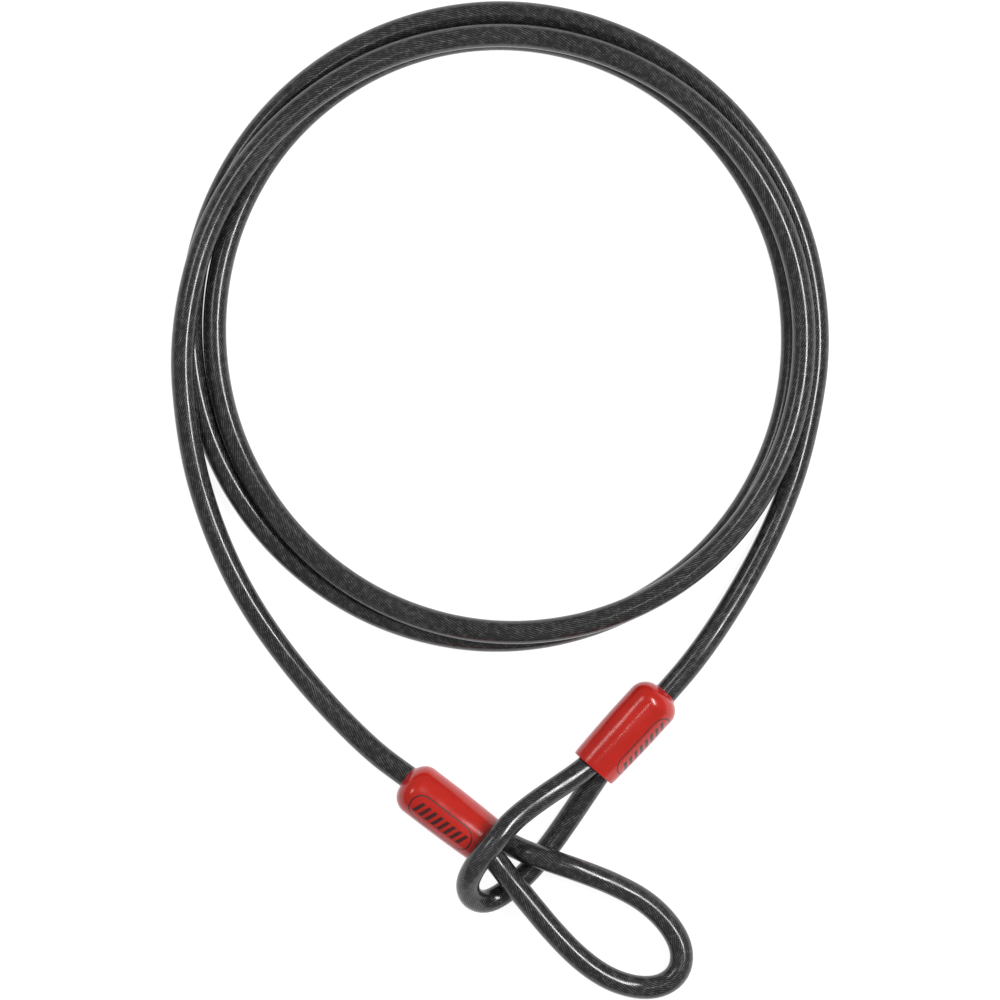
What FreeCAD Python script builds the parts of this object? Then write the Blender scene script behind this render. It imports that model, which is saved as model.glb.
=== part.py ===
"""Looped-end security cable: a plastic-coated steel wire rope with an eye at each end.

Millimetres, +Z up. The cable lies coiled on its floor, Z = 0, with its origin at the bottom
centre of its box. Each eye is the rope turned back on itself and pressed into an aluminium
ferrule, and a red vinyl sleeve covers the ferrule. The two eyes are passed through each other.
The rope runs in one piece from the tail in the left ferrule, round the left eye, back through
that ferrule, round the coil, through the right ferrule, round the right eye and into its tail.
"""
import FreeCAD
import Part
import math
import os
from FreeCAD import Vector

# Cable
CABLE_D = 8.0              # over the jacket
ROPE_D = 5.5               # bare steel rope
CORE_D = 1.9               # centre strand of the rope

# Ferrule: an oval pressing with one bore for the standing rope and one for its return
FERRULE_LENGTH = 24.0
FERRULE_HALF_WIDTH = 7.7
FERRULE_HALF_THICKNESS = 6.1
FERRULE_CHAMFER = 1.0
BORE_OFFSET = 2.85         # from the ferrule's axis to either bore

# Sleeve over the ferrule: closed and rounded at the rear, open at the mouth
SLEEVE_LENGTH = 35.6
SLEEVE_HALF_WIDTH = 10.0
SLEEVE_HALF_THICKNESS = 8.4
SLEEVE_REAR_WALL = 2.2
SLEEVE_REAR_ROUND = 6.0
POCKET_HALF_WIDTH = 8.8
POCKET_HALF_THICKNESS = 7.2

# How the two legs of an eye leave the ferrule
PAIR_TILT = 55.0           # the pair of bores leans this far from level, standing bore lowest
LEG_SPREAD = 13.0          # each leg turns this far from the ferrule's axis
LEG_STRAIGHT = 3.5         # rope between the ferrule's face and that turn
LEG_GRIP = 1.5             # the eye's first run starts this far inside the ferrule
LEG_RUN = 9.75             # from that turn to the eye's first bend
JACKET_SETBACK = 5.0       # from that turn to the cut end of the eye's jacket
REAR_RUN = 17.0            # straight cable behind each sleeve

# Where each sleeve lies: middle of its rear end, heading from rear to mouth, and pitch
LEFT_END = dict(rear=(-32.6, -96.1, 9.4), heading=-36.0, pitch=2.5)
RIGHT_END = dict(rear=(55.4, -65.3, 9.55), heading=229.0, pitch=0.0)

# Cable from the left sleeve up to the coil, and from the coil down to the right sleeve
LEFT_LEAD = [
    (-68.0, -61.0, 4.2),
    (-86.8, -35.0, 4.0),
    (-99.2, -8.0, 5.2),
    (-106.6, 20.0, 10.0),
]
RIGHT_LEAD = [
    (104.2, 18.5, 4.0),
    (94.8, -8.0, 4.0),
    (81.8, -32.5, 4.3),
]

# Coil: radius and height of the cable's centre at every eighth of a turn, clockwise from the
# left side. The first turn rides on the two below it and comes down inside the last one.
COIL_CENTRE = (0.0, 57.2)
COIL_EIGHTHS = [
    (107.2, 12.1), (102.2, 12.2), (100.8, 12.2), (101.9, 12.1),
    (103.6, 12.0), (105.2, 12.1), (102.6, 11.9), (98.8, 9.3),
    (97.4, 5.0), (99.4, 4.0), (100.3, 4.0), (99.4, 4.0),
    (99.9, 4.0), (103.2, 4.0), (105.6, 4.0), (105.3, 4.0),
    (105.6, 4.0), (107.8, 4.0), (109.2, 4.0), (108.3, 4.0),
    (108.2, 4.0),
]

# Left eye, from its high leg round the tip and back along the leg that climbs over the other eye
LEFT_EYE = [
    (4.2, -130.6, 12.6),
    (10.4, -138.2, 11.8),
    (18.3, -147.8, 10.3),
    (27.2, -157.0, 8.6),
    (36.5, -163.7, 6.6),
    (46.5, -167.2, 4.3),
    (55.4, -166.8, 4.0),
    (61.6, -161.9, 4.0),
    (62.5, -153.7, 4.0),
    (57.8, -145.0, 5.0),
    (49.5, -137.0, 7.2),
    (38.0, -130.9, 10.0),
    (27.0, -126.6, 12.6),
    (18.2, -123.6, 13.1),
    (10.4, -121.0, 12.7),
]

# Right eye, from its low leg on the floor round the tip and back over the left sleeve's mouth
RIGHT_EYE = [
    (21.7, -112.0, 4.0),
    (15.9, -120.0, 4.0),
    (8.8, -128.6, 4.0),
    (0.4, -135.6, 4.0),
    (-5.3, -138.0, 6.0),
    (-10.0, -136.1, 10.6),
    (-11.4, -131.2, 16.2),
    (-9.3, -125.9, 21.3),
    (-5.6, -120.6, 24.8),
    (-0.6, -114.4, 24.8),
    (5.6, -107.9, 22.2),
    (14.5, -101.4, 18.0),
]


def heading_vectors(end):
    """An end's axis from rear to mouth, and the direction from that axis to its standing bore."""
    turn, pitch = math.radians(end["heading"]), math.radians(end["pitch"])
    axis = Vector(math.cos(turn) * math.cos(pitch), math.sin(turn) * math.cos(pitch), math.sin(pitch))
    left = Vector(-math.sin(turn), math.cos(turn), 0)
    up = axis.cross(left)
    tilt = math.radians(PAIR_TILT)
    return axis, left * math.cos(tilt) - up * math.sin(tilt)


def end_point(end, along, across):
    """A point on the plane through both bores of an end, from the middle of its rear."""
    axis, pair = heading_vectors(end)
    return Vector(*end["rear"]) + axis * along + pair * across


def end_placement(end):
    """Carries a solid from +X forward, +Y towards the standing bore, to where an end lies."""
    axis, pair = heading_vectors(end)
    flat = axis.cross(pair)
    matrix = FreeCAD.Matrix(
        axis.x, pair.x, flat.x, end["rear"][0],
        axis.y, pair.y, flat.y, end["rear"][1],
        axis.z, pair.z, flat.z, end["rear"][2],
    )
    return FreeCAD.Placement(matrix)


def leg_points(end, side):
    """The run of one leg of an eye out of the ferrule: side is 1 for standing, -1 for return."""
    face = SLEEVE_REAR_WALL + FERRULE_LENGTH
    spread = math.radians(LEG_SPREAD)
    turn = face + LEG_STRAIGHT
    return [
        end_point(end, face - LEG_GRIP, side * BORE_OFFSET),
        end_point(end, turn, side * BORE_OFFSET),
        end_point(
            end,
            turn + LEG_RUN * math.cos(spread),
            side * (BORE_OFFSET + LEG_RUN * math.sin(spread)),
        ),
    ]


def coil_points():
    """The coil's points, sixteen to a turn. Each odd one lies on a smooth curve through the two
    eighths on either side of it, and each stands out by what rounding its corner takes off."""
    step = math.pi / 8
    last = len(COIL_EIGHTHS) - 1
    points = []
    for i in range(2 * last + 1):
        eighth = i // 2
        radius, height = COIL_EIGHTHS[eighth]
        if i % 2:
            far_before, before, after, far_after = (
                COIL_EIGHTHS[min(max(eighth + k, 0), last)] for k in (-1, 0, 1, 2)
            )
            radius, height = (
                (9 * (b + a) - (fb + fa)) / 16
                for fb, b, a, fa in zip(far_before, before, after, far_after)
            )
        turned = math.pi - i * step
        reach = radius / math.cos(step / 2)
        points.append(Vector(
            COIL_CENTRE[0] + reach * math.cos(turned),
            COIL_CENTRE[1] + reach * math.sin(turned),
            max(height, CABLE_D / 2),
        ))
    return points


def eye_points(end, middle, first_side):
    """An eye's whole run, out of one bore of its ferrule and back into the other."""
    out = leg_points(end, first_side)
    back = leg_points(end, -first_side)
    return out + [Vector(*p) for p in middle] + back[::-1]


def long_points():
    """The standing cable, from the left ferrule's rear face to the right one's."""
    start = [end_point(LEFT_END, s, BORE_OFFSET) for s in (SLEEVE_REAR_WALL, -REAR_RUN)]
    stop = [end_point(RIGHT_END, s, BORE_OFFSET) for s in (-REAR_RUN, SLEEVE_REAR_WALL)]
    lead_in = [Vector(*p) for p in LEFT_LEAD]
    lead_out = [Vector(*p) for p in RIGHT_LEAD]
    return start + lead_in + coil_points() + lead_out + stop


def line(a, b):
    return Part.LineSegment(a, b).toShape()


def route(points, label):
    """Edges through a list of points: straight runs joined by tangent arcs."""
    edges, radii = [], []
    start = points[0]
    for before, corner, after in zip(points, points[1:], points[2:]):
        back, on = before - corner, after - corner
        turn = math.pi - back.getAngle(on)
        reach = 0.45 * min(back.Length, on.Length)
        radius = reach / math.tan(turn / 2)
        back.normalize()
        on.normalize()
        into, out_of = corner + back * reach, corner + on * reach
        inward = (back + on).normalize()
        centre = corner + inward * math.hypot(radius, reach)
        middle = centre - inward * radius
        edges += [line(start, into), Part.Arc(into, middle, out_of).toShape()]
        start = out_of
        radii.append(radius)
    edges.append(line(start, points[-1]))
    print(label, "arc radii", " ".join(f"{r:.1f}" for r in radii))
    return edges


def ring(edges, outer_d, inner_d):
    """The face across a path's start, a disc or an annulus, that a tube is swept from."""
    start = edges[0].Vertexes[0].Point
    direction = edges[0].Vertexes[1].Point - start
    outer = Part.Wire(Part.Circle(start, direction, outer_d / 2).toShape())
    if not inner_d:
        return Part.Face(outer)
    inner = Part.Wire(Part.Circle(start, direction, inner_d / 2).toShape())
    return Part.Face(outer).cut(Part.Face(inner)).Faces[0]


def tube(edges, outer_d, inner_d, label):
    """A rod or tube along a path, with its volume beside section times length."""
    wire = Part.Wire(edges)
    solid = wire.makePipe(ring(edges, outer_d, inner_d))
    section = math.pi / 4 * (outer_d**2 - inner_d**2)
    print(f"{label} length {wire.Length:.1f} volume ratio {solid.Volume / (section * wire.Length):.4f}"
          f" valid {solid.isValid()} solids {len(solid.Solids)}")
    return solid.Solids[0]


def jacket_edges(eye, end, first_side):
    """The stretch of an eye's path that its jacket covers: between its two cut ends."""
    starts = []
    for side in (first_side, -first_side):
        _, turn, bend = leg_points(end, side)
        starts.append(turn + (bend - turn).normalize() * JACKET_SETBACK)
    first = line(starts[0], eye[2].Vertexes[1].Point)
    last = line(eye[-3].Vertexes[0].Point, starts[1])
    return [first] + eye[3:-3] + [last]


def oval(half_width, half_thickness, start, length):
    """An elliptical bar along +X, wide along Y."""
    ellipse = Part.Ellipse(
        Vector(start, half_width, 0), Vector(start, 0, half_thickness), Vector(start, 0, 0))
    return Part.Face(Part.Wire(ellipse.toShape())).extrude(Vector(length, 0, 0))


def rod(diameter, across, start, length):
    return Part.makeCylinder(diameter / 2, length, Vector(start, across, 0), Vector(1, 0, 0))


def ferrule():
    body = oval(FERRULE_HALF_WIDTH, FERRULE_HALF_THICKNESS, SLEEVE_REAR_WALL, FERRULE_LENGTH)
    rims = [e for e in body.Edges if len(e.Vertexes) == 1]
    body = body.makeChamfer(FERRULE_CHAMFER, rims)
    for side in (1, -1):
        body = body.cut(rod(ROPE_D, side * BORE_OFFSET, 0, SLEEVE_LENGTH))
    return body.Solids[0]


def sleeve():
    skin = oval(SLEEVE_HALF_WIDTH, SLEEVE_HALF_THICKNESS, 0, SLEEVE_LENGTH)
    rims = [e for e in skin.Edges if len(e.Vertexes) == 1]
    rear = [e for e in rims if abs(e.CenterOfMass.x) < 0.01]
    skin = skin.makeFillet(SLEEVE_REAR_ROUND, rear)
    face = SLEEVE_REAR_WALL + FERRULE_LENGTH
    skin = skin.cut(oval(FERRULE_HALF_WIDTH, FERRULE_HALF_THICKNESS, SLEEVE_REAR_WALL, FERRULE_LENGTH))
    skin = skin.cut(oval(POCKET_HALF_WIDTH, POCKET_HALF_THICKNESS, face, SLEEVE_LENGTH))
    skin = skin.cut(rod(CABLE_D, BORE_OFFSET, -1, SLEEVE_REAR_WALL + 2))
    return skin.Solids[0]


def placed(solid, end):
    moved = solid.copy()
    moved.Placement = end_placement(end)
    return moved


def main():
    left = route(eye_points(LEFT_END, LEFT_EYE, -1), "left eye")
    long_run = route(long_points(), "standing cable")
    right = route(eye_points(RIGHT_END, RIGHT_EYE, 1), "right eye")

    tail = [end_point(e, SLEEVE_REAR_WALL, -BORE_OFFSET) for e in (LEFT_END, RIGHT_END)]
    path = [line(tail[0], left[0].Vertexes[0].Point)] + left
    path += [line(left[-1].Vertexes[1].Point, long_run[0].Vertexes[0].Point)] + long_run
    path += [line(long_run[-1].Vertexes[1].Point, right[0].Vertexes[0].Point)] + right
    path += [line(right[-1].Vertexes[1].Point, tail[1])]

    nodes = {
        "core_strand": tube(path, CORE_D, 0, "core_strand"),
        "outer_strands": tube(path, ROPE_D, CORE_D, "outer_strands"),
        "jacket_long": tube(long_run, CABLE_D, ROPE_D, "jacket_long"),
        "jacket_eye_left": tube(
            jacket_edges(left, LEFT_END, -1), CABLE_D, ROPE_D, "jacket_eye_left"),
        "jacket_eye_right": tube(
            jacket_edges(right, RIGHT_END, 1), CABLE_D, ROPE_D, "jacket_eye_right"),
    }
    for side, end in (("left", LEFT_END), ("right", RIGHT_END)):
        nodes["ferrule_" + side] = placed(ferrule(), end)
        nodes["sleeve_" + side] = placed(sleeve(), end)

    os.makedirs("parts", exist_ok=True)
    for name, solid in nodes.items():
        solid.exportStep(f"parts/{name}.step")
    return nodes


nodes = main()
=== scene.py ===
"""The look of a looped-end security cable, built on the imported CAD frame. Metres, +Z up.

One NURBS line follows the rope from its tail in the left ferrule, round the left eye, round the
coil and round the right eye to its other tail in the right ferrule. The jackets and the strands
are tubes along points read from it.
"""

import math

import bmesh
import bpy
import numpy as np
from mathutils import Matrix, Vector


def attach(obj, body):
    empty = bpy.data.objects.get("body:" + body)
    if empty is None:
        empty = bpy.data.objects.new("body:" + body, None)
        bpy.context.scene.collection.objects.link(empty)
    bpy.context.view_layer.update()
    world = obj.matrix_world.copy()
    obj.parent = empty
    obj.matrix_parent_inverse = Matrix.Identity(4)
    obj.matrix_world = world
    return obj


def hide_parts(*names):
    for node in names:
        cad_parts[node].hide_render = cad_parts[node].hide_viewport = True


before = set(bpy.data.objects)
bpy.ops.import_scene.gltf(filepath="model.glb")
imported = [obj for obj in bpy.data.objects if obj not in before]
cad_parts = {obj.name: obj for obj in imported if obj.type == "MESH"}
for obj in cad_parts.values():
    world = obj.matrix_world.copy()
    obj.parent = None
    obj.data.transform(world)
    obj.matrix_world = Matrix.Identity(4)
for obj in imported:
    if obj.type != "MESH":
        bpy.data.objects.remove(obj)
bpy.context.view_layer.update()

MM = 0.001
TAU = 2 * math.pi

# Cable
CABLE_R = 4.0 * MM               # over the jacket
STRANDS = 6                      # laid round the core
WIRES = 6                        # seen round each strand
STRAND_R = 0.9 * MM
CORE_R = 0.95 * MM
STRAND_CENTRE_R = 1.85 * MM      # from the rope's centre to each outer strand's centre
LAY = 45 * MM                    # length in which the strands go once round the rope
WIRE_LAY = 13 * MM               # length in which a strand's own wires go once round it
JACKET_LINES = 30                # wires seen through the jacket, counted round it
JACKET_LINE_PITCH = 1.90 * MM    # from one such wire to the next, along it
JACKET_EASE = 0.25 * MM          # length of the rounding at a jacket's cut end
JACKET_EASE_DEPTH = 0.18 * MM    # how far that rounding takes the edge in

# Sleeve and ferrule, measured from the sleeve's rear to its mouth. A pair of half sizes is first
# along the line through the two bores, then across it.
FERRULE_LENGTH = 24.0 * MM
FERRULE_HALF = (7.7 * MM, 6.1 * MM)
BORE_OFFSET = 2.85 * MM          # from the ferrule's axis to each bore's
SLEEVE_LENGTH = 35.6 * MM
SLEEVE_HALF = (10.0 * MM, 8.4 * MM)
SLEEVE_REAR_WALL = 2.2 * MM
SLEEVE_REAR_ROUND = 6.0 * MM
SLEEVE_TAPER = 0.55 * MM         # how much narrower all round it is at the mouth
SLEEVE_SWELL_END = 17 * MM       # where it starts to narrow
BEAD_HEIGHT = 0.35 * MM          # bead that the vinyl makes round its rear hole
BEAD_WIDTH = 0.5 * MM
HOLE_GAP = 0.03 * MM             # from the jacket to the rear hole's edge
POCKET_HALF = (8.8 * MM, 7.2 * MM)
POCKET_END = SLEEVE_LENGTH - 1.2 * MM
FERRULE_GAP = 0.05 * MM          # from the ferrule to the vinyl round it
FERRULE_FACE = SLEEVE_REAR_WALL + FERRULE_LENGTH
OUTER_WALL_END = SLEEVE_LENGTH - 1.5 * MM
LIP_RINGS = (                    # mm back from the mouth, mm in from the untapered outside
    (0.25, 1.16), (0.06, 1.12), (0.0, 1.04), (0.0, 0.86), (0.06, 0.72), (0.22, 0.64), (0.6, 0.59),
)
PAIR_TILT = math.radians(55)     # of the line through the two bores, from level

# Print on each sleeve, in metres along and round it
PRINT_MIDDLE = 18.6 * MM         # from the rear
LOZENGE_HALF = (12.35 * MM, 4.9 * MM)
LOZENGE_ROUND = 4.5 * MM
LOZENGE_LINE = (0.20 * MM, 0.30 * MM)    # half the line's width, inside and outside its soft edge
BAR_PITCH = 2.6 * MM             # from one printed bar to the next
BAR_SLANT = 0.4
BARS_HALF = (4 * BAR_PITCH, 2.3 * MM)
BARS_ROUND = 0.1 * MM
BARS_EDGE = 0.06 * MM            # half the width of the field's soft edge

# The rope near a ferrule
LEG_GRIP = 1.5 * MM              # how far inside the ferrule's face a leg's first point lies
LEG_TURN = FERRULE_FACE + 3.5 * MM       # where the legs start to spread
LEG_SPREAD = math.radians(13)
LEG_RUN = 9.75 * MM              # how far they run at that angle
JACKET_SETBACK = 5.0 * MM        # from where they start to spread to the eye's jacket
REAR_RUN = 17.0 * MM             # how far the cable runs straight behind a sleeve

# Meshes
SHARP_ANGLE = math.radians(50)
JACKET_STEP, JACKET_SIDES = 1.6 * MM, 32
CORD_PATH_STEP = 2 * MM
BARE_STEP, HIDDEN_STEP = 0.5 * MM, 2.5 * MM      # along the rope
SHORTEST_STEP = 0.1 * MM
BARE_MARGIN = 2 * MM             # how far past a bare stretch the short steps go
BARE_LOOK_AHEAD = 1.5 * MM       # and how much further before it they start
CORE_SIDES, STRAND_SIDES, SLEEVE_SIDES = 12, 18, 96
SLEEVE_WALL_RINGS, SLEEVE_REAR_RINGS = 44, 36
BEND_WINDOW = 5                  # stations over which a tube's bend is averaged
SEARCH_STEP = 0.1 * MM           # between the places tried in finding the nearest to a point
SPAN_SAMPLES = 32                # points read from each span of the rope's NURBS line
WELD_DISTANCE = 1e-6

LEFT_END = dict(rear=(-0.0326, -0.0961, 0.0094), heading=-36.0, pitch=2.5)
RIGHT_END = dict(rear=(0.0554, -0.0653, 0.00955), heading=229.0, pitch=0.0)

# The route, in metres: the same points that the frame's solids follow
LEFT_LEAD = [
    (-0.0680, -0.0610, 0.0042), (-0.0868, -0.0350, 0.0040),
    (-0.0992, -0.0080, 0.0052), (-0.1066, 0.0200, 0.0100),
]
RIGHT_LEAD = [
    (0.1042, 0.0185, 0.0040), (0.0948, -0.0080, 0.0040), (0.0818, -0.0325, 0.0043),
]
COIL_CENTRE = (0.0, 0.0572)
COIL_EIGHTHS = [                 # radius and height at each eighth of a turn, clockwise from -X
    (0.1072, 0.0121), (0.1022, 0.0122), (0.1008, 0.0122), (0.1019, 0.0121),
    (0.1036, 0.0120), (0.1052, 0.0121), (0.1026, 0.0119), (0.0988, 0.0093),
    (0.0974, 0.0050), (0.0994, 0.0040), (0.1003, 0.0040), (0.0994, 0.0040),
    (0.0999, 0.0040), (0.1032, 0.0040), (0.1056, 0.0040), (0.1053, 0.0040),
    (0.1056, 0.0040), (0.1078, 0.0040), (0.1092, 0.0040), (0.1083, 0.0040),
    (0.1082, 0.0040),
]
LEFT_EYE = [
    (0.0042, -0.1306, 0.0126), (0.0104, -0.1382, 0.0118), (0.0183, -0.1478, 0.0103),
    (0.0272, -0.1570, 0.0086), (0.0365, -0.1637, 0.0066), (0.0465, -0.1672, 0.0043),
    (0.0554, -0.1668, 0.0040), (0.0616, -0.1619, 0.0040), (0.0625, -0.1537, 0.0040),
    (0.0578, -0.1450, 0.0050), (0.0495, -0.1370, 0.0072), (0.0380, -0.1309, 0.0100),
    (0.0270, -0.1266, 0.0126), (0.0182, -0.1236, 0.0131), (0.0104, -0.1210, 0.0127),
]
RIGHT_EYE = [
    (0.0217, -0.1120, 0.0040), (0.0159, -0.1200, 0.0040), (0.0088, -0.1286, 0.0040),
    (0.0004, -0.1356, 0.0040), (-0.0053, -0.1380, 0.0060), (-0.0100, -0.1361, 0.0106),
    (-0.0114, -0.1312, 0.0162), (-0.0093, -0.1259, 0.0213), (-0.0056, -0.1206, 0.0248),
    (-0.0006, -0.1144, 0.0248), (0.0056, -0.1079, 0.0222), (0.0145, -0.1014, 0.0180),
]


# ---------------------------------------------------------------- camera, light and floor

def look_at(obj, target):
    obj.rotation_euler = (Vector(target) - obj.location).to_track_quat("-Z", "Y").to_euler()


def link(obj):
    bpy.context.scene.collection.objects.link(obj)
    return obj


VIEW_SIDE = 0.342                # width of the camera's view where the cable lies
CAMERA_HEIGHT = 2.5
CAMERA_Y = -0.34 * MM
SENSOR_WIDTH = 36.0              # in mm, as Blender takes it
camera = link(bpy.data.objects.new("camera", bpy.data.cameras.new("camera")))
camera.location = (0.0, CAMERA_Y, CAMERA_HEIGHT)
camera.data.sensor_width = SENSOR_WIDTH
camera.data.lens = SENSOR_WIDTH * (CAMERA_HEIGHT - CABLE_R) / VIEW_SIDE
camera.data.dof.use_dof = False
bpy.context.scene.camera = camera


LIGHT_DISTANCE = 1.5
WORLD_STRENGTH = 0.33


def area_light(name, azimuth, tilt, size, power):
    """A soft box seen from the origin at an azimuth and a tilt from straight up, in degrees."""
    a, t = math.radians(azimuth), math.radians(tilt)
    data = bpy.data.lights.new(name, "AREA")
    data.shape = "RECTANGLE"
    data.size, data.size_y = size
    data.energy = power
    obj = link(bpy.data.objects.new(name, data))
    obj.location = (
        LIGHT_DISTANCE * math.sin(t) * math.cos(a),
        LIGHT_DISTANCE * math.sin(t) * math.sin(a),
        LIGHT_DISTANCE * math.cos(t),
    )
    look_at(obj, (0, 0, 0))
    obj.visible_camera = False


area_light("key", azimuth=12, tilt=30, size=(0.80, 0.20), power=16)
area_light("fill", azimuth=150, tilt=35, size=(0.5, 0.3), power=3)
area_light("glint", azimuth=313, tilt=11, size=(0.12, 0.12), power=0.5)

world = bpy.data.worlds.new("studio")
bpy.context.scene.world = world
world.use_nodes = True
background = world.node_tree.nodes["Background"]
background.inputs["Color"].default_value = (1, 1, 1, 1)
background.inputs["Strength"].default_value = WORLD_STRENGTH
bpy.context.scene.view_settings.view_transform = "Standard"


# ---------------------------------------------------------------- material nodes

class Graph:
    """A material's nodes, written as calls."""

    def __init__(self, name):
        self.material = bpy.data.materials.new(name)
        self.material.use_nodes = True
        self.tree = self.material.node_tree
        self.shader = self.tree.nodes["Principled BSDF"]

    def set(self, socket, value):
        target = self.shader.inputs[socket] if isinstance(socket, str) else socket
        if isinstance(value, bpy.types.NodeSocket):
            self.tree.links.new(value, target)
        else:
            target.default_value = value

    def node(self, kind, **inputs):
        made = self.tree.nodes.new("ShaderNode" + kind)
        for name, value in inputs.items():
            self.set(made.inputs[name.replace("_", " ")], value)
        return made

    def math(self, operation, a, b=0.0, c=0.0):
        made = self.tree.nodes.new("ShaderNodeMath")
        made.operation = operation
        for socket, value in zip(made.inputs, (a, b, c)):
            self.set(socket, value)
        return made.outputs[0]

    def mix(self, factor, a, b):
        made = self.tree.nodes.new("ShaderNodeMix")
        made.data_type = "RGBA"
        factor_in, a_in, b_in = (made.inputs[i] for i in (0, 6, 7))   # the colour sockets
        self.set(factor_in, factor)
        self.set(a_in, a)
        self.set(b_in, b)
        return made.outputs[2]

    def span(self, value, low, high, to_low=0.0, to_high=1.0):
        """value carried from low..high to to_low..to_high, smoothly and no further."""
        made = self.tree.nodes.new("ShaderNodeMapRange")
        made.interpolation_type = "SMOOTHSTEP"
        for socket, v in zip(made.inputs, (value, low, high, to_low, to_high)):
            self.set(socket, v)
        return made.outputs[0]

    def noise(self, scale, detail=2.0):
        place = self.node("TexCoord").outputs["Object"]
        return self.node("TexNoise", Scale=scale, Detail=detail, Vector=place).outputs["Fac"]

    def uv(self, layer):
        made = self.tree.nodes.new("ShaderNodeUVMap")
        made.uv_map = layer
        split = self.tree.nodes.new("ShaderNodeSeparateXYZ")
        self.tree.links.new(made.outputs["UV"], split.inputs[0])
        return split.outputs[0], split.outputs[1]

    def attribute(self, name):
        made = self.tree.nodes.new("ShaderNodeAttribute")
        made.attribute_name = name
        return made.outputs["Fac"]

    def wave(self, phase, sharpness):
        """0 to 1, peaking at each whole number of phase."""
        swing = self.math("COSINE", self.math("MULTIPLY", phase, TAU))
        return self.math("POWER", self.math("MULTIPLY_ADD", swing, 0.5, 0.5), sharpness)

    def bump(self, height, strength, distance):
        made = self.node("Bump", Strength=strength, Distance=distance, Height=height)
        self.set("Normal", made.outputs["Normal"])


def smoked_vinyl():
    """Glossy smoked jacket with the strands and their wires showing faintly through it, and
    painted glints along the wires.
    """
    valley, crest = (0.008, 0.008, 0.0085, 1), (0.012, 0.012, 0.012, 1)
    haze, wire_and_glint_grey = (0.022, 0.022, 0.022, 1), (0.19, 0.192, 0.190, 1)
    stretched_grey = (0.12, 0.12, 0.12, 1)
    g = Graph("smoked_vinyl")
    around, along = g.uv("cable")
    turned = g.math("SUBTRACT", around, g.math("DIVIDE", along, LAY))
    crown = g.wave(g.math("MULTIPLY", turned, STRANDS), 0.8)
    wires = g.math("SUBTRACT", g.math("MULTIPLY", around, JACKET_LINES),
                   g.math("DIVIDE", along, JACKET_LINE_PITCH))
    wire = g.wave(wires, 3.0)
    dashes = g.span(g.noise(620.0, 2.0), 0.42, 0.66, 0.22, 1.0)
    nearness = g.span(crown, 0.0, 1.0, 0.7, 1.0)
    # Light dashes along the wires: partly the wires' own grey showing through, partly painted
    # glints on them.
    glint = g.math("MULTIPLY", wire, g.math("MULTIPLY", dashes, nearness))
    shade = g.mix(crown, valley, crest)
    cloudy = g.span(g.noise(40.0, 3.0), 0.35, 0.7, 0.0, 0.5)
    shade = g.mix(cloudy, shade, haze)
    shade = g.mix(g.math("MULTIPLY", glint, 0.7), shade, wire_and_glint_grey)
    stretched = g.span(g.attribute("stretch"), 0.10, 0.5, 0.0, 0.5)
    g.set("Base Color", g.mix(stretched, shade, stretched_grey))
    g.set("Roughness", g.span(g.noise(240.0, 3.0), 0.3, 0.7, 0.14, 0.24))
    g.set("IOR", 1.5)
    relief = g.math("ADD", g.math("MULTIPLY", crown, 0.4), g.noise(500.0, 2.0))
    g.bump(relief, 0.15, 0.05 * MM)
    return g.material


def strand_steel():
    """Galvanised strand in its zinc grey, with painted shade in the grooves where two wires meet.
    """
    groove_shade, zinc, dull = (0.06, 0.06, 0.062, 1), (0.42, 0.42, 0.43, 1), (0.22, 0.22, 0.23, 1)
    g = Graph("galvanised_strand")
    around, along = g.uv("cable")
    turned = g.math("SUBTRACT", around, g.math("DIVIDE", along, WIRE_LAY))
    crown = g.wave(g.math("MULTIPLY", turned, WIRES), 0.6)
    grime = g.span(g.noise(700.0, 3.0), 0.35, 0.75)
    # Painted shade: dark in the grooves between the wires, zinc grey on their crowns.
    shade = g.mix(crown, groove_shade, zinc)
    g.set("Base Color", g.mix(g.math("MULTIPLY", grime, 0.4), shade, dull))
    g.set("Metallic", 0.9)
    g.set("Roughness", g.span(grime, 0.0, 1.0, 0.28, 0.45))
    g.bump(crown, 0.6, 0.08 * MM)
    return g.material


def pressed_aluminium():
    """Ferrule: satin metal, finely speckled and duller in patches."""
    g = Graph("pressed_aluminium")
    speckle = g.noise(900.0, 4.0)
    broad = g.span(g.noise(160.0, 3.0), 0.3, 0.7)
    g.set("Base Color", g.mix(broad, (0.50, 0.50, 0.51, 1), (0.72, 0.72, 0.73, 1)))
    g.set("Metallic", 1.0)
    g.set("Roughness", g.span(speckle, 0.3, 0.7, 0.30, 0.5))
    g.bump(speckle, 0.4, 0.04 * MM)
    return g.material


def rounded_box(g, x, y, half, radius):
    """Signed distance to a rounded rectangle about the origin, in the units of x and y."""
    dx = g.math("SUBTRACT", g.math("ABSOLUTE", x), half[0] - radius)
    dy = g.math("SUBTRACT", g.math("ABSOLUTE", y), half[1] - radius)
    out_x, out_y = g.math("MAXIMUM", dx, 0.0), g.math("MAXIMUM", dy, 0.0)
    outside = g.math("SQRT", g.math(
        "ADD", g.math("MULTIPLY", out_x, out_x), g.math("MULTIPLY", out_y, out_y)))
    inside = g.math("MINIMUM", g.math("MAXIMUM", dx, dy), 0.0)
    return g.math("SUBTRACT", g.math("ADD", outside, inside), radius)


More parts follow.
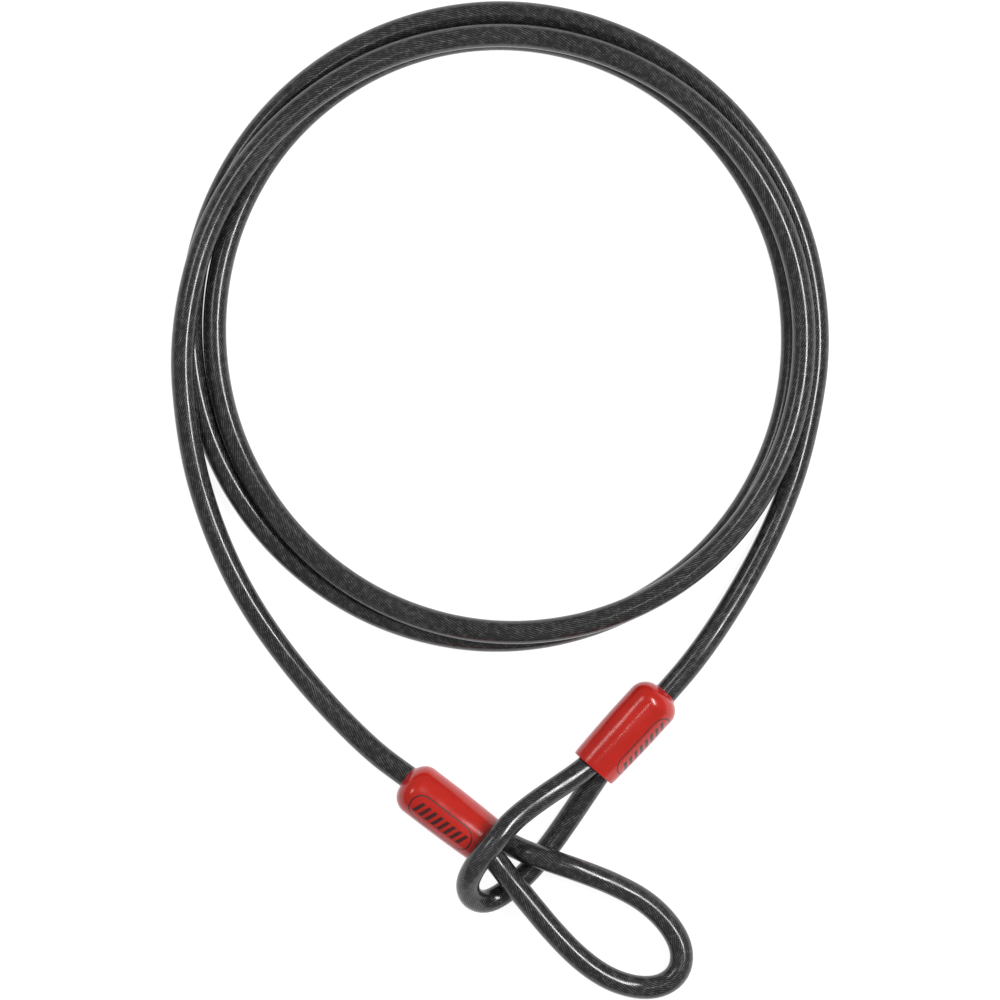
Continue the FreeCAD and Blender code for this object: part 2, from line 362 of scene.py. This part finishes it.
def red_vinyl(name, middle):
    """Dip-moulded red sleeve, printed with a lozenge of slanted bars. Its UV map is in metres,
    round the sleeve and along it, and middle is the lozenge's centre round it."""
    dark_red, light_red = (0.44, 0.010, 0.004, 1), (0.54, 0.014, 0.006, 1)
    bloom, black = (0.60, 0.06, 0.05, 1), (0.012, 0.008, 0.009, 1)
    g = Graph(name)
    around, along = g.uv("sleeve")
    x = g.math("SUBTRACT", along, PRINT_MIDDLE)
    y = g.math("SUBTRACT", around, middle)
    rim = g.math("ABSOLUTE", rounded_box(g, x, y, LOZENGE_HALF, LOZENGE_ROUND))
    outline = g.span(rim, *LOZENGE_LINE, 1.0, 0.0)
    slanted = g.math("MULTIPLY_ADD", y, BAR_SLANT, x)
    field = g.span(rounded_box(g, slanted, y, BARS_HALF, BARS_ROUND),
                   -BARS_EDGE, BARS_EDGE, 1.0, 0.0)
    bars = g.span(g.wave(g.math("DIVIDE", slanted, BAR_PITCH), 1.0), 0.58, 0.50)
    ink = g.math("MAXIMUM", outline, g.math("MULTIPLY", field, bars))
    worn = g.span(g.noise(1300.0, 3.0), 0.25, 0.38)
    ink = g.math("MULTIPLY", ink, worn)
    tone = g.span(g.noise(70.0, 4.0), 0.3, 0.7)
    red = g.mix(tone, dark_red, light_red)
    fine = g.span(g.noise(1500.0, 2.0), 0.4, 0.8, 0.0, 0.08)
    red = g.mix(fine, red, bloom)
    g.set("Base Color", g.mix(g.math("MULTIPLY", ink, 0.92), red, black))
    gloss = g.span(g.noise(300.0, 3.0), 0.3, 0.7, 0.18, 0.24)
    g.set("Roughness", g.math("ADD", gloss, g.math("MULTIPLY", ink, 0.15)))
    g.set("IOR", 1.5)
    g.set("Sheen Weight", 0.15)
    g.set("Sheen Roughness", 0.3)
    g.set("Sheen Tint", (0.75, 0.45, 0.85, 1))
    ripples = g.math("ADD", g.noise(90.0, 1.0), g.math("MULTIPLY", g.noise(1400.0), 0.02))
    g.bump(g.math("ADD", ripples, g.math("MULTIPLY", ink, 0.02)), 0.5, 0.6 * MM)
    return g.material


# ---------------------------------------------------------------- the rope's line

def end_axes(end):
    """An end's axis from rear to mouth, the way to its standing bore, and the third axis."""
    turn, pitch = math.radians(end["heading"]), math.radians(end["pitch"])
    level = math.cos(pitch)
    axis = Vector((math.cos(turn) * level, math.sin(turn) * level, math.sin(pitch)))
    left = Vector((-math.sin(turn), math.cos(turn), 0))
    up = axis.cross(left)
    pair = left * math.cos(PAIR_TILT) - up * math.sin(PAIR_TILT)
    return axis, pair, axis.cross(pair)


def end_point(end, along, across):
    axis, pair, _ = end_axes(end)
    return Vector(end["rear"]) + axis * along + pair * across


def leg(end, side):
    """One leg's points out of the ferrule: side is 1 for the standing rope, -1 for its return."""
    return [
        end_point(end, FERRULE_FACE - LEG_GRIP, side * BORE_OFFSET),
        end_point(end, LEG_TURN, side * BORE_OFFSET),
        end_point(end, LEG_TURN + LEG_RUN * math.cos(LEG_SPREAD),
                  side * (BORE_OFFSET + LEG_RUN * math.sin(LEG_SPREAD))),
    ]


def coil():
    """Sixteen points to a turn. Each odd one is on the cubic through the four eighths about it."""
    step = math.pi / 8
    last = len(COIL_EIGHTHS) - 1
    points = []
    for i in range(2 * last + 1):
        radius, height = COIL_EIGHTHS[i // 2]
        if i % 2:
            about = [COIL_EIGHTHS[min(max(i // 2 + k, 0), last)] for k in (-1, 0, 1, 2)]
            radius, height = (
                (9 * (second + third) - (first + fourth)) / 16
                for first, second, third, fourth in zip(*about))
        turned = math.pi - i * step
        reach = radius / math.cos(step / 2)
        points.append(Vector((
            COIL_CENTRE[0] + reach * math.cos(turned),
            COIL_CENTRE[1] + reach * math.sin(turned),
            max(height, CABLE_R),
        )))
    return points


def rope_route():
    eye_left = leg(LEFT_END, -1) + [Vector(p) for p in LEFT_EYE] + leg(LEFT_END, 1)[::-1]
    eye_right = leg(RIGHT_END, 1) + [Vector(p) for p in RIGHT_EYE] + leg(RIGHT_END, -1)[::-1]
    standing = [end_point(LEFT_END, SLEEVE_REAR_WALL, BORE_OFFSET),
                end_point(LEFT_END, -REAR_RUN, BORE_OFFSET)]
    standing += [Vector(p) for p in LEFT_LEAD] + coil() + [Vector(p) for p in RIGHT_LEAD]
    standing += [end_point(RIGHT_END, -REAR_RUN, BORE_OFFSET),
                 end_point(RIGHT_END, SLEEVE_REAR_WALL, BORE_OFFSET)]
    tails = [end_point(end, SLEEVE_REAR_WALL, -BORE_OFFSET) for end in (LEFT_END, RIGHT_END)]
    return tails[:1] + eye_left + standing + eye_right + tails[1:]


def spline_points(route):
    """Points read from the NURBS spline that has the route's points as its control points."""
    data = bpy.data.curves.new("rope_line", "CURVE")
    data.dimensions = "3D"
    data.resolution_u = SPAN_SAMPLES
    spline = data.splines.new("NURBS")
    spline.points.add(len(route) - 1)
    for knot, point in zip(spline.points, route):
        knot.co = (*point, 1)
    spline.order_u = 3
    spline.use_endpoint_u = True
    obj = bpy.data.objects.new("rope_line", data)
    mesh = bpy.data.meshes.new_from_object(obj)
    points = np.array([v.co for v in mesh.vertices])
    bpy.data.objects.remove(obj)
    bpy.data.meshes.remove(mesh)
    bpy.data.curves.remove(data)
    return points


class Line:
    """A polyline, read by the distance along it."""

    def __init__(self, points):
        self.points = points
        self.s = np.append(0, np.cumsum(np.linalg.norm(np.diff(points, axis=0), axis=1)))
        self.length = self.s[-1]

    def at(self, s):
        return np.stack([np.interp(s, self.s, self.points[:, k]) for k in range(3)], axis=1)

    def nearest(self, point):
        """Distance along the line of its nearest place to a point."""
        s = np.linspace(0, self.length, int(self.length / SEARCH_STEP))
        return s[np.linalg.norm(self.at(s) - np.array(point), axis=1).argmin()]


def evenly(start, stop, step):
    """Distances from start to stop, about a step apart."""
    return np.linspace(start, stop, round((stop - start) / step) + 1)


def rings(points):
    """For each point of a path, two directions across it that turn with it and never twist."""
    tangents = np.gradient(points, axis=0)
    tangents /= np.linalg.norm(tangents, axis=1)[:, None]
    side = np.cross(tangents[0], (0, 0, 1))
    across = np.empty_like(points)
    for i, tangent in enumerate(tangents):
        side = side - tangent * side.dot(tangent)
        side /= np.linalg.norm(side)
        across[i] = side
    return across, np.cross(tangents, across)


def grid_mesh(name, verts, uvs, layer, material, caps):
    """A tube's mesh from a grid of rings. uvs has one more column than verts, for the seam."""
    count, sides = verts.shape[:2]
    index = np.arange(count * sides).reshape(count, sides)
    nxt = np.roll(index, -1, axis=1)
    quads = np.stack([index[:-1], nxt[:-1], nxt[1:], index[1:]], axis=2).reshape(-1, 4)
    faces = quads.tolist()
    if caps:
        faces += [index[0][::-1].tolist(), index[-1].tolist()]
    mesh = bpy.data.meshes.new(name)
    mesh.from_pydata(verts.reshape(-1, 3).tolist(), [], faces)
    corner = np.stack([uvs[:-1, :-1], uvs[:-1, 1:], uvs[1:, 1:], uvs[1:, :-1]], axis=2)
    corner = corner.reshape(-1, 2)
    if caps:
        corner = np.concatenate([corner, uvs[0, :-1][::-1], uvs[-1, :-1]])
    mesh.uv_layers.new(name=layer).data.foreach_set("uv", corner.ravel())
    mesh.polygons.foreach_set("use_smooth", [True] * len(faces))
    mesh.materials.append(material)
    return mesh


def tube(name, line, stations, radius, sides, material):
    """A capped tube along a line, with how far its skin is stretched by the bend as an attribute.
    radius is a number or takes (angle grid, distance grid)."""
    points = line.at(stations)
    across, over = rings(points)
    angle = np.arange(sides + 1) / sides * TAU
    theta, along = np.meshgrid(angle, stations)
    r = radius(theta, along) if callable(radius) else np.full(theta.shape, radius)
    out = across[:, None] * np.cos(theta)[..., None] + over[:, None] * np.sin(theta)[..., None]
    verts = (points[:, None] + out * r[..., None])[:, :-1]
    uvs = np.stack([theta / TAU, along], axis=2)
    mesh = grid_mesh(name, verts, uvs, "cable", material, True)

    bend = np.gradient(np.gradient(points, axis=0), axis=0)
    bend /= (np.gradient(stations) ** 2)[:, None]
    window = np.ones(BEND_WINDOW) / BEND_WINDOW
    bend = np.stack([np.convolve(bend[:, k], window, "same") for k in range(3)], axis=1)
    stretch = -(out[:, :-1] * bend[:, None]).sum(axis=2) * r[:, :-1]
    mesh.attributes.new("stretch", "FLOAT", "POINT").data.foreach_set("value", stretch.ravel())
    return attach(link(bpy.data.objects.new(name, mesh)), "root")


rope = Line(spline_points(rope_route()))


# ---------------------------------------------------------------- jackets

def cut_end(end, side):
    """Where an eye's jacket is cut off in front of a ferrule."""
    _, turn, bend = leg(end, side)
    return turn + (bend - turn).normalized() * JACKET_SETBACK


vinyl = smoked_vinyl()


def jacket(name, node, start, stop):
    """The jacket between two places on the rope, its cut edges eased."""
    s0, s1 = rope.nearest(start), rope.nearest(stop)
    body = evenly(s0 + JACKET_EASE, s1 - JACKET_EASE, JACKET_STEP)
    stations = np.concatenate([[s0], body, [s1]])

    def radius(theta, along):
        from_end = np.minimum(along - s0, s1 - along)
        return CABLE_R - JACKET_EASE_DEPTH * np.clip(1 - from_end / JACKET_EASE, 0, 1) ** 2

    obj = tube(name, rope, stations, radius, JACKET_SIDES, vinyl)
    obj.data.set_sharp_from_angle(angle=SHARP_ANGLE)
    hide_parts(node)
    path = rope.at(evenly(s0, s1, CORD_PATH_STEP))
    return obj, path, s1 - s0


standing_ends = [end_point(end, SLEEVE_REAR_WALL, BORE_OFFSET) for end in (LEFT_END, RIGHT_END)]
left_cuts = [cut_end(LEFT_END, side) for side in (-1, 1)]
right_cuts = [cut_end(RIGHT_END, side) for side in (1, -1)]
for name, node, (start, stop), lay in (
    ("long_jacket", "jacket_long", standing_ends, "coiled"),
    ("left_eye_jacket", "jacket_eye_left", left_cuts, "loose"),
    ("right_eye_jacket", "jacket_eye_right", right_cuts, "loose"),
):
    obj, path, length = jacket(name, node, start, stop)


# ---------------------------------------------------------------- rope

steel = strand_steel()
bare = []                        # stretches of rope that show between ferrule and jacket
for end in (LEFT_END, RIGHT_END):
    for side in (1, -1):
        a = rope.nearest(end_point(end, FERRULE_FACE - LEG_GRIP, side * BORE_OFFSET))
        b = rope.nearest(cut_end(end, side))
        bare.append((min(a, b) - BARE_MARGIN, max(a, b) + BARE_MARGIN))


def rope_stations():
    """Close together where the rope is bare, further apart under the jackets."""
    out, s = [0.0], 0.0
    while s < rope.length:
        shown = any(a < s + BARE_LOOK_AHEAD and s < b for a, b in bare)
        s = min(s + (BARE_STEP if shown else HIDDEN_STEP), rope.length)
        out.append(s)
    if out[-1] - out[-2] < SHORTEST_STEP:
        out.pop(-2)
    return np.array(out)


def strand_radius(theta, along):
    """A strand's section: a lobe for each wire round it, turning with its own lay."""
    lobes = np.abs(np.cos(WIRES / 2 * (theta - TAU * along / WIRE_LAY)))
    return STRAND_R * (0.90 + 0.10 * lobes)


stations = rope_stations()
core = tube("core", rope, stations, CORE_R, CORE_SIDES, steel)
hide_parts("core_strand")
rope_points = rope.at(stations)
across, over = rings(rope_points)
for k in range(STRANDS):
    turn = TAU * (stations / LAY + k / STRANDS)
    helix = Line(rope_points + STRAND_CENTRE_R * (
        across * np.cos(turn)[:, None] + over * np.sin(turn)[:, None]))
    strand = tube(f"strand_{k + 1}", helix, helix.s, strand_radius, STRAND_SIDES, steel)
    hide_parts("outer_strands")


# ---------------------------------------------------------------- ferrules

aluminium = pressed_aluminium()
for side in ("left", "right"):
    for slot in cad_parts["ferrule_" + side].material_slots:
        slot.material = aluminium


# ---------------------------------------------------------------- sleeves

SLEEVE_ANGLE = np.linspace(0, TAU, SLEEVE_SIDES + 1)
SLEEVE_RING = np.stack([np.cos(SLEEVE_ANGLE), np.sin(SLEEVE_ANGLE)], axis=1)


def sleeve_rows():
    """The sleeve's rings, from its rear hole through its pocket, over the lip and back over the
    outside to the hole: for each, the distances along the axis, the places across it, and how
    much of the skin's lean it takes, from 0 to 1."""
    rows = []
    hole = SLEEVE_RING * (CABLE_R + HOLE_GAP) + (BORE_OFFSET, 0)
    inner_end = (np.full(SLEEVE_SIDES + 1, SLEEVE_REAR_WALL), hole, 0.0)

    def oval(x, half, lean=1.0):
        rows.append((np.full(SLEEVE_SIDES + 1, x), SLEEVE_RING * half, lean))

    def inset(by):
        return SLEEVE_HALF[0] - by, SLEEVE_HALF[1] - by

    rows.append(inner_end)
    snug = (FERRULE_HALF[0] + FERRULE_GAP, FERRULE_HALF[1] + FERRULE_GAP)
    for x in (SLEEVE_REAR_WALL, FERRULE_FACE):
        oval(x, snug, 0.0)
    for x in (FERRULE_FACE, POCKET_END):
        oval(x, POCKET_HALF, 0.0)
    for back, by in LIP_RINGS:
        oval(SLEEVE_LENGTH - back * MM, inset(by * MM))
    for x in np.linspace(OUTER_WALL_END, SLEEVE_REAR_ROUND, SLEEVE_WALL_RINGS):
        narrowing = max(0, (x - SLEEVE_SWELL_END) / (SLEEVE_LENGTH - SLEEVE_SWELL_END))
        oval(x, inset(SLEEVE_TAPER * narrowing**1.5))
    for t in 0.5 - 0.5 * np.cos(np.linspace(0, math.pi, SLEEVE_REAR_RINGS + 1)[1:]):
        place = SLEEVE_RING * SLEEVE_HALF * (1 - t) + hole * t
        edge = (1 - np.linalg.norm(place / SLEEVE_HALF, axis=1)) * SLEEVE_HALF[1]
        down = SLEEVE_REAR_ROUND - np.clip(edge, 0, SLEEVE_REAR_ROUND)
        drop = SLEEVE_REAR_ROUND - np.sqrt(SLEEVE_REAR_ROUND**2 - down**2)
        to_hole = np.linalg.norm(place - hole, axis=1)
        bead = BEAD_HEIGHT * np.exp(-((to_hole / BEAD_WIDTH) ** 2))
        rows.append((drop - bead, place, 1 - t))
    rows.append(inner_end)
    return rows


def sleeve(side, end, lean, print_angle):
    """A red sleeve. Its skin sits lean[0] to the left at the rear and lean[1] at the mouth. Its
    print's middle is print_angle degrees round it from the standing bore's side."""
    rows = sleeve_rows()
    axis, pair, flat = (np.array(v) for v in end_axes(end))
    left = np.array((-axis[1], axis[0], 0)) / math.hypot(axis[0], axis[1])
    verts = np.stack([
        np.array(end["rear"]) + x[:, None] * axis + yz[:, :1] * pair + yz[:, 1:] * flat
        + weight * np.interp(x, (0, SLEEVE_LENGTH), lean)[:, None] * left
        for x, yz, weight in rows])
    sides = np.linalg.norm(np.diff(SLEEVE_RING * SLEEVE_HALF, axis=0), axis=1)
    arc = np.append(0, np.cumsum(sides))
    uvs = np.stack([np.stack([arc, x], axis=1) for x, _, _ in rows])
    middle = np.interp(math.radians(print_angle), SLEEVE_ANGLE, arc)
    material = red_vinyl("red_vinyl_" + side, middle)
    mesh = grid_mesh("sleeve_skin_" + side, verts[:, :-1], uvs, "sleeve", material, False)
    welded = bmesh.new()
    welded.from_mesh(mesh)
    bmesh.ops.remove_doubles(welded, verts=welded.verts, dist=WELD_DISTANCE)
    bmesh.ops.recalc_face_normals(welded, faces=welded.faces)
    welded.to_mesh(mesh)
    welded.free()
    mesh.set_sharp_from_angle(angle=SHARP_ANGLE)
    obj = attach(link(bpy.data.objects.new("sleeve_skin_" + side, mesh)), "root")
    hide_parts("sleeve_" + side)


sleeve("left", LEFT_END, (0.45 * MM, -0.40 * MM), 170)
sleeve("right", RIGHT_END, (0.50 * MM, -0.35 * MM), 79)


# ---------------------------------------------------------------- floor

FLOOR_HALF = 6.0
FLOOR_DROP = 0.1 * MM            # so that the lowest cable does not share its plane


def floor():
    """A sheet that glows nearly white, so that it stays pale and shadows on it are faint."""
    g = Graph("floor")
    g.set("Base Color", (0.3, 0.3, 0.3, 1))
    g.set("Roughness", 0.9)
    g.set("Specular IOR Level", 0.1)
    g.set("Emission Color", (1, 1, 1, 1))
    g.set("Emission Strength", 0.9)
    mesh = bpy.data.meshes.new("floor")
    h = FLOOR_HALF
    mesh.from_pydata([(-h, -h, 0), (h, -h, 0), (h, h, 0), (-h, h, 0)], [], [(0, 1, 2, 3)])
    mesh.materials.append(g.material)
    obj = link(bpy.data.objects.new("floor", mesh))
    obj.location.z = -FLOOR_DROP


floor()
